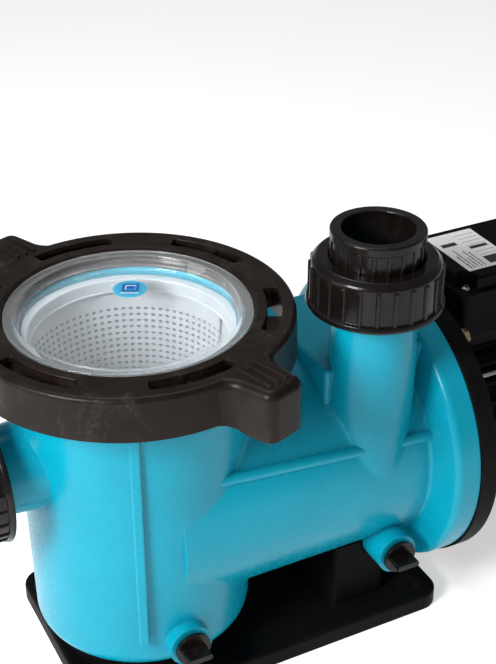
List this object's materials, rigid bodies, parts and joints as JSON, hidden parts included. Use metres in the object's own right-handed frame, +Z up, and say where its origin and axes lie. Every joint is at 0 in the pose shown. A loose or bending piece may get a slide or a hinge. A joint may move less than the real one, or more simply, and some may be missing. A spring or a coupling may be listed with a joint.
{
  "type": "pool pump",
  "caption": "Self-priming pool pump: strainer pot with clear lid and black lock ring, teal volute body, ribbed pipe unions and a finned motor with terminal box.",
  "frame": {"origin": "on the floor under the axis of the strainer pot, on the underside of the base", "axes": "+X along the shaft from pot to motor, +Z up, the discharge is on the -Y side"},
  "size_m": [0.6495, 0.2788, 0.33],
  "materials": {
    "teal_plastic": "satin moulded plastic",
    "black_plastic": "satin moulded plastic",
    "union_plastic": "gloss moulded plastic",
    "base_plastic": "matt moulded plastic",
    "clear_plastic": "clear polished plastic",
    "mark_print": "gloss printed film",
    "white_plastic": "translucent white plastic",
    "rubber": "matt rubber",
    "zinc_brass": "satin zinc yellow plate",
    "steel": "brushed steel",
    "bearing_steel": "ground bright steel",
    "motor_paint": "black textured paint",
    "cover_plastic": "matt black plastic",
    "box_plastic": "satin charcoal plastic",
    "label_film": "satin printed film",
    "laminations": "stacked steel sheet",
    "copper_wire": "enamelled copper",
    "terminal_brass": "bright brass",
    "hydraulic_plastic": "glass filled plastic",
    "seal_ceramic": "lapped ceramic",
    "seal_carbon": "lapped carbon",
    "terminal_moulding": "matt moulding",
    "capacitor_case": "grey plastic can"
  },
  "bodies": {
    "pump": {"pump_body": "teal_plastic", "discharge_tailpiece": "union_plastic", "suction_tailpiece": "union_plastic", "base_foot": "base_plastic", "motor_foot": "base_plastic", "seal_plate": "base_plastic", "lid_gasket": "rubber", "body_oring": "rubber", "discharge_oring": "rubber", "suction_oring": "rubber", "pot_drain_oring": "rubber", "volute_drain_oring": "rubber", "terminal_gasket": "rubber", "flange_bolts": "zinc_brass", "flange_washers": "zinc_brass", "base_screws": "steel", "fan_cover_screws": "steel", "terminal_screws": "steel", "terminal_box_screws": "steel", "tie_rods": "steel", "wave_washer": "steel", "front_bearing_outer": "bearing_steel", "rear_bearing_outer": "bearing_steel", "motor_housing": "motor_paint", "front_shield": "motor_paint", "rear_shield": "motor_paint", "fan_cover": "cover_plastic", "terminal_box": "box_plastic", "terminal_lid": "box_plastic", "cable_gland": "box_plastic", "gland_locknut": "box_plastic", "rating_label": "label_film", "stator_core": "laminations", "stator_windings": "copper_wire", "terminal_posts": "terminal_brass", "diffuser": "hydraulic_plastic", "wear_ring": "hydraulic_plastic", "stationary_seal": "seal_ceramic", "terminal_block": "terminal_moulding", "capacitor": "capacitor_case"},
    "window": {"lid_window": "clear_plastic", "window_mark": "mark_print"},
    "lock_ring": {"lock_ring": "black_plastic"},
    "basket": {"basket": "white_plastic"},
    "rotor": {"shaft": "bearing_steel", "rotor_core": "laminations", "impeller": "hydraulic_plastic", "impeller_nut": "steel", "rotating_seal": "seal_carbon", "seal_spring": "bearing_steel", "cooling_fan": "cover_plastic", "water_slinger": "rubber", "front_bearing_inner": "bearing_steel", "rear_bearing_inner": "bearing_steel", "bearing_balls": "bearing_steel"},
    "discharge_nut": {"discharge_union_nut": "union_plastic"},
    "suction_nut": {"suction_union_nut": "union_plastic"},
    "pot_plug": {"pot_drain_plug": "union_plastic"},
    "volute_plug": {"volute_drain_plug": "union_plastic"},
    "gland_cap": {"gland_nut": "box_plastic"}
  },
  "joints": [
    {"name": "lid_lift", "type": "slide", "parent": "pump", "child": "window", "axis": [0, 0, 1], "range_m": [0, 0.34]},
    {"name": "ring_turn", "type": "hinge", "parent": "window", "child": "lock_ring", "pos_m": [0, 0, 0.2835], "axis": [0, 0, 1], "range_deg": [0, 22]},
    {"name": "basket_lift", "type": "slide", "parent": "pump", "child": "basket", "axis": [0, 0, 1], "range_m": [0, 0.17]},
    {"name": "rotor_spin", "type": "hinge", "parent": "pump", "child": "rotor", "pos_m": [0, 0, 0.13], "axis": [1, 0, 0], "continuous": true},
    {"name": "discharge_nut_turn", "type": "hinge", "parent": "pump", "child": "discharge_nut", "pos_m": [0.1601, -0.053, 0.2985], "axis": [0, 0, 1], "continuous": true},
    {"name": "suction_nut_turn", "type": "hinge", "parent": "pump", "child": "suction_nut", "pos_m": [-0.128, 0, 0.181], "axis": [-1, 0, 0], "continuous": true},
    {"name": "pot_plug_turn", "type": "hinge", "parent": "pump", "child": "pot_plug", "pos_m": [0, -0.0882, 0.053], "axis": [0, -1, 0], "continuous": true},
    {"name": "volute_plug_turn", "type": "hinge", "parent": "pump", "child": "volute_plug", "pos_m": [0.172, -0.085, 0.068], "axis": [0, -1, 0], "continuous": true},
    {"name": "gland_cap_turn", "type": "hinge", "parent": "pump", "child": "gland_cap", "pos_m": [0.326, 0.038, 0.229], "axis": [0, 1, 0], "continuous": true}
  ],
  "couplings": [
    {"joint": "basket_lift", "follows": "lid_lift", "ratio": 0.5}
  ]
}
